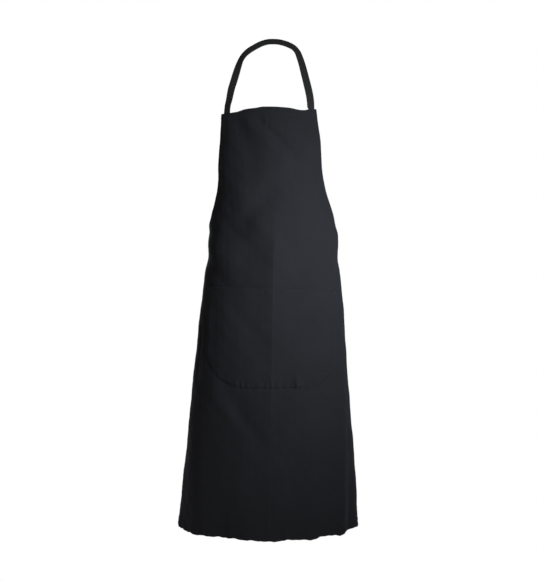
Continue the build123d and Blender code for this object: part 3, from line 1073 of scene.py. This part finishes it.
neckTape = {
    "width": 0.020,
    "thickness": 0.0013,
    "spread": 0.111,
    "sewnDrops": (0.036, 0.024, 0.012, 0.002),
    "bend": (-0.010, 0.014),  # a span round its hinge, below and above it
    # the free loop seen from the front: x, height, how far the tape's face turns up
    "loop": [
        (-0.1068, -0.182, 0.75), (-0.1030, -0.163, 0.60), (-0.0975, -0.1315, 0.35),
        (-0.0917, -0.110, 0.30), (-0.0863, -0.089, 0.30), (-0.0806, -0.068, 0.50),
        (-0.0742, -0.049, 0.75), (-0.0659, -0.0345, 0.70), (-0.0525, -0.0205, 0.55),
        (-0.0347, -0.0083, 0.55), (-0.0165, 0.0015, 0.55), (0.0000, 0.0058, 0.55),
        (0.0140, 0.0063, 0.55), (0.0273, 0.0054, 0.55), (0.0415, 0.0020, 0.55),
        (0.0559, -0.0040, 0.55), (0.0680, -0.0118, 0.60), (0.0764, -0.0225, 0.60),
        (0.0848, -0.0450, 0.45), (0.0909, -0.0677, 0.35), (0.0955, -0.0891, 0.25),
        (0.1001, -0.1103, 0.20), (0.1045, -0.1315, 0.15), (0.1082, -0.1525, 0.20),
        (0.1102, -0.1733, 0.30), (0.1107, -0.1860, 0.45),
    ],
}


def hingeOf(jointName):
    joint = [j for j in frame["joints"] if j["name"] == jointName][0]
    return joint["pos_m"][1], joint["pos_m"][2]


def makeNeckTape():
    hingeY, hingeZ = hingeOf("apron_swing")
    inside = -(hemsDepth + neckTape["thickness"] / 2)

    def sewnEnd(side):
        # up the inner face of the bib to its top edge
        drops = np.array(neckTape["sewnDrops"])
        reach = side * acrossAt(neckTape["spread"], drops)
        spots = onCloth(reach, drops, inside)
        return spots, unit(onCloth(reach + 0.001, drops, inside) - spots)

    leftSpots, leftSides = sewnEnd(-1)
    rightSpots, rightSides = sewnEnd(1)
    # the loop leans back from the bib to the neck
    x, z, faceUp = np.array(neckTape["loop"]).T
    spots = np.stack([x, np.minimum(z * hingeY / hingeZ, 0.001), z], axis=1)
    backward = np.array([0, 1.0, 0])
    sides = unit(np.cross(unit(np.gradient(spots, axis=0)), -backward))
    sides = sides + backward * (faceUp * np.where(sides[:, 2] >= 0, 1, -1))[:, None]
    if sides[8][2] < 0:
        sides = -sides
    spots = np.concatenate([leftSpots, spots, rightSpots[::-1]])
    sides = np.concatenate([leftSides, sides, rightSides[::-1]])
    # keep every width vector on the same side as its neighbour
    for k in range(1, len(sides)):
        if np.dot(sides[k], sides[k - 1]) < 0:
            sides[k] = -sides[k]
    path = smoothPath(np.concatenate([spots, sides], axis=1), 340)
    tape = tapePiece("neckTape", path[:, :3], path[:, 3:], neckTape["width"], neckTape["thickness"])
    finishPiece(tape, tapeCloth, None,
                ["neck_strap", "strap_end_left", "strap_end_right"])
    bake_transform(tape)


makeNeckTape()
print("neck tape made")

waistTie = {
    "width": 0.022,
    "thickness": 0.0012,
    "sewn": 0.030,
    "sag": 0.003,
    "bend": (-0.004, 0.008),  # a span round its hinge, in front of and behind it
    "twist": 0.22,  # the tape turns slightly as it is pulled into the knot
}


def makeWaistTies():
    hingeY, hingeZ = hingeOf("waist_tie_swing")
    tieDrop = np.array([bibTopZ - hingeZ])
    inside = -(hemsDepth + waistTie["thickness"] / 2)
    width, depth, setBack = shapeAt(tieDrop)
    lean = curveThrough(wornShape["leanDrops"], wornShape["leans"], tieDrop)
    half = clothCut["tieLevelWidth"] / 2
    startAngle = float(wrapAngle(np.array([half]), tieDrop)[0])
    for name, side in (("left", -1), ("right", 1)):
        reach = np.linspace(half - waistTie["sewn"], half - 0.001, 8)
        sewn = onCloth(side * reach, tieDrop, inside)
        angles = np.linspace(startAngle + 0.03, np.pi - 0.05, 26)
        hang = waistTie["sag"] * np.sin(np.linspace(0, np.pi, 26))
        fade = 1 - smoothStep(startAngle, np.pi, angles)
        x = side * (width + inside) * np.sin(angles) + lean * fade
        y = frontY + setBack + depth - (depth + inside) * np.cos(angles)
        free = np.stack([x, y, hingeZ - hang], axis=1)
        path = smoothPath(np.concatenate([sewn, free]), 150)
        sides = np.tile([0.0, 0.0, 1.0], (len(path), 1))
        run = np.linspace(0, 1, len(path))
        sides[:, 1] = waistTie["twist"] * smoothStep(0.45, 0.8, run) * np.sin(run * 9)
        tape = tapePiece(f"waistTape_{name}", path, sides, waistTie["width"], waistTie["thickness"])
        finishPiece(tape, tapeCloth, None, [f"tie_{name}", f"tie_end_{name}"])
        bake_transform(tape)


bow = {
    "wrapDepth": 0.0070,
    "wrapHeight": 0.0105,
    "wrapWidth": 0.021,
    "wrapThickness": 0.0016,
    # folds of tape squeezed inside the wrap: how far back, height, tilt
    "folds": [(-0.0035, 0.019, 0.2), (0.0, 0.017, -0.15), (0.0035, 0.018, 0.1)],
    "foldThickness": 0.0022,
    "foldReach": 0.0125,
    "loopReach": {"left": 0.088, "right": 0.092},
    "loopTwist": 0.18,
    "tailTwist": 0.35,
}


def makeWrap(centre):
    # one turn of tape pulled tight round the crossing
    turn = np.linspace(0, 2 * np.pi, 72, endpoint=False)
    pinch = 1 + 0.05 * np.sin(3 * turn + 0.5)  # not quite round
    flatten = [np.sign(v) * np.abs(v) ** 0.8 for v in (np.cos(turn), np.sin(turn))]
    path = np.stack([
        centre[0] + 0.0012 * np.sin(turn),
        centre[1] + bow["wrapDepth"] * flatten[0] * pinch,
        centre[2] + bow["wrapHeight"] * flatten[1],
    ], axis=1)
    sides = np.tile([1.0, 0.0, 0.12], (len(path), 1))
    wrap = tapePiece("bowKnot", path, sides, bow["wrapWidth"], bow["wrapThickness"], closed=True)
    finishPiece(wrap, tapeCloth, "waist_tie", ["bow_knot"])
    run = np.linspace(-1, 1, 24)
    for k, (shift, tall, tilt) in enumerate(bow["folds"]):
        path = np.stack([
            centre[0] + run * bow["foldReach"],
            centre[1] + shift + 0.0008 * np.cos(run * 5 + k),
            centre[2] + 0.001 * np.sin(run * 4 + k * 2),
        ], axis=1)
        sides = np.stack([np.zeros(24), tilt * run, np.ones(24)], axis=1)
        fold = tapePiece(f"knotFold_{k + 1}", path, sides, tall, bow["foldThickness"])
        finishPiece(fold, tapeCloth, "waist_tie", [])


def makeLoop(centre, name, side):
    far = bow["loopReach"][name]
    # out from the knot, round the end of the loop and back: out, back, down
    route = [
        (0.004, -0.0010, -0.001), (0.014, -0.0030, -0.002), (0.034, -0.0058, -0.007),
        (0.060, -0.0070, -0.012), (far - 0.008, -0.0060, -0.015), (far, 0.0, -0.013),
        (far - 0.008, 0.0062, -0.009), (0.060, 0.0070, -0.003), (0.034, 0.0054, 0.002),
        (0.014, 0.0028, 0.002), (0.004, 0.0012, 0.001),
    ]
    path = smoothPath([centre + (side * a, b, c) for a, b, c in route], 130)
    run = np.linspace(0, 1, len(path))
    twist = bow["loopTwist"] * np.sin(run * 7 + side)
    sides = np.stack([np.zeros(len(path)), twist, np.ones(len(path))], axis=1)
    loop = tapePiece(f"bowLoop_{name}", path, sides, waistTie["width"] - 0.001,
                     waistTie["thickness"])
    # gathered where it goes into the knot
    narrow = 1 - 0.35 * (hump(run, 0, 0.07) + hump(run, 1, 0.07))
    coords = np.array([v.co for v in loop.data.vertices]).reshape(len(path), tapeRing, 3)
    coords[:, :, 2] = path[:, None, 2] + (coords[:, :, 2] - path[:, None, 2]) * narrow[:, None]
    loop.data.vertices.foreach_set("co", coords.ravel())
    finishPiece(loop, tapeCloth, "waist_tie", [f"bow_loop_{name}"])


def makeTail(centre, name, side):
    low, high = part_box(f"tail_{name}")
    hangs = [
        (0.006, 0.0, centre[2] - 0.004),
        (0.010, 0.0005, centre[2] - 0.012),
        (0.013, 0.001, high.z - 0.006),
        (0.019, 0.003, high.z - 0.040),
        (0.026, 0.002, high.z - 0.085),
        (0.031, -0.002, high.z - 0.130),
        (0.039, 0.001, low.z + 0.004),
    ]
    path = smoothPath([(side * a, centre[1] + b, c) for a, b, c in hangs], 120)
    run = np.linspace(0, 1, len(path))
    twist = bow["tailTwist"] * np.sin(run * 5 + side * 1.2) * run
    sides = np.stack([np.ones(len(path)), twist, np.zeros(len(path))], axis=1)
    tail = tapePiece(f"bowTail_{name}", path, sides, waistTie["width"], waistTie["thickness"])
    finishPiece(tail, tapeCloth, None, [f"tail_{name}"])
    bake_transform(tail)


def makeBow():
    knotLow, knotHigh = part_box("bow_knot")
    centre = (np.array(knotLow) + np.array(knotHigh)) / 2
    makeWrap(centre)
    for name, side in (("left", -1), ("right", 1)):
        makeLoop(centre, name, side)
        makeTail(centre, name, side)


makeWaistTies()
makeBow()
print("ties and bow made")


# ---- studio ----

studio = {
    "distance": 2.25,
    "eyeZ": -0.664,
    "lens": 54.8,
    "floorZ": -2.0,
    "floorReach": 1.6,
    "floorGlow": 0.45,
    "roomLight": 0.21,
}


# each lamp: place, target, size, power, spread, tint
lamps = [
    ("keyLight", (0.82, -1.05, -0.43), (0.06, -0.1, -0.52), 0.36, 8.6, 1.35, (0.80, 0.87, 1.0)),
    ("topLight", (0.25, -1.7, 0.7), (0.0, 0.0, -0.35), 0.8, 1.7, 1.7, (1.0, 0.96, 0.93)),
    ("lowLight", (0.15, -1.8, -0.95), (-0.02, -0.1, -1.0), 0.8, 1.4, 1.4, (0.95, 0.97, 1.0)),
    ("backLight", (-0.8, 2.5, 0.3), (0.0, 0.1, -0.6), 1.5, 60, 3.0, (1.0, 1.0, 1.0)),
    ("fillLight", (-2.4, -2.2, 0.2), (0.0, 0.0, -0.6), 2.0, 2, 3.0, (1.0, 0.98, 0.95)),
]


def pointAt(thing, target):
    direction = Vector(target) - thing.location
    thing.rotation_euler = direction.to_track_quat("-Z", "Y").to_euler()


def makeStudio():
    camera = bpy.data.objects.new("camera", bpy.data.cameras.new("camera"))
    camera.data.lens = studio["lens"]
    camera.data.sensor_width = 36
    camera.location = (0, frontY - studio["distance"], studio["eyeZ"])
    camera.rotation_euler = (np.pi / 2, 0, 0)
    bpy.context.collection.objects.link(camera)
    bpy.context.scene.camera = camera

    turn = np.linspace(0, 2 * np.pi, 96, endpoint=False)
    rim = studio["floorReach"] * np.stack([np.cos(turn), np.sin(turn), 0 * turn], axis=1)
    floorMesh = bpy.data.meshes.new("floor")
    floorMesh.from_pydata(rim.tolist(), [], [list(range(len(rim)))])
    floor = bpy.data.objects.new("floor", floorMesh)
    floor.location = (0, 0, studio["floorZ"])
    bpy.context.collection.objects.link(floor)
    nodes = Nodes("paleFloor")
    grain = nodes.add("ShaderNodeTexNoise", inputs={"Scale": 30.0, "Detail": 4.0})
    tone = nodes.mix(grain.outputs["Fac"], (0.80, 0.80, 0.80, 1), (0.84, 0.84, 0.84, 1))
    nodes.link(tone, "Base Color")
    nodes.fix(Roughness=0.9, Emission_Color=(1, 1, 1, 1), Emission_Strength=studio["floorGlow"])
    floorMesh.materials.append(nodes.material)

    for name, place, target, size, power, spread, tint in lamps:
        light = bpy.data.lights.new(name, "AREA")
        light.size = size
        light.energy = power
        light.spread = spread
        light.color = tint
        lamp = bpy.data.objects.new(name, light)
        lamp.location = place
        bpy.context.collection.objects.link(lamp)
        pointAt(lamp, target)

    # the room looks white but lights the cloth only gently
    world = bpy.data.worlds.new("paleRoom")
    world.use_nodes = True
    tree = world.node_tree
    path = tree.nodes.new("ShaderNodeLightPath")
    strength = tree.nodes.new("ShaderNodeMapRange")
    strength.inputs["To Min"].default_value = studio["roomLight"]
    strength.inputs["To Max"].default_value = 1.0
    tree.links.new(path.outputs["Is Camera Ray"], strength.inputs["Value"])
    tree.links.new(strength.outputs[0], tree.nodes["Background"].inputs["Strength"])
    tree.nodes["Background"].inputs["Color"].default_value = (1, 1, 1, 1)
    bpy.context.scene.world = world
    bpy.context.scene.view_settings.view_transform = "Standard"


makeStudio()
print("studio ready")
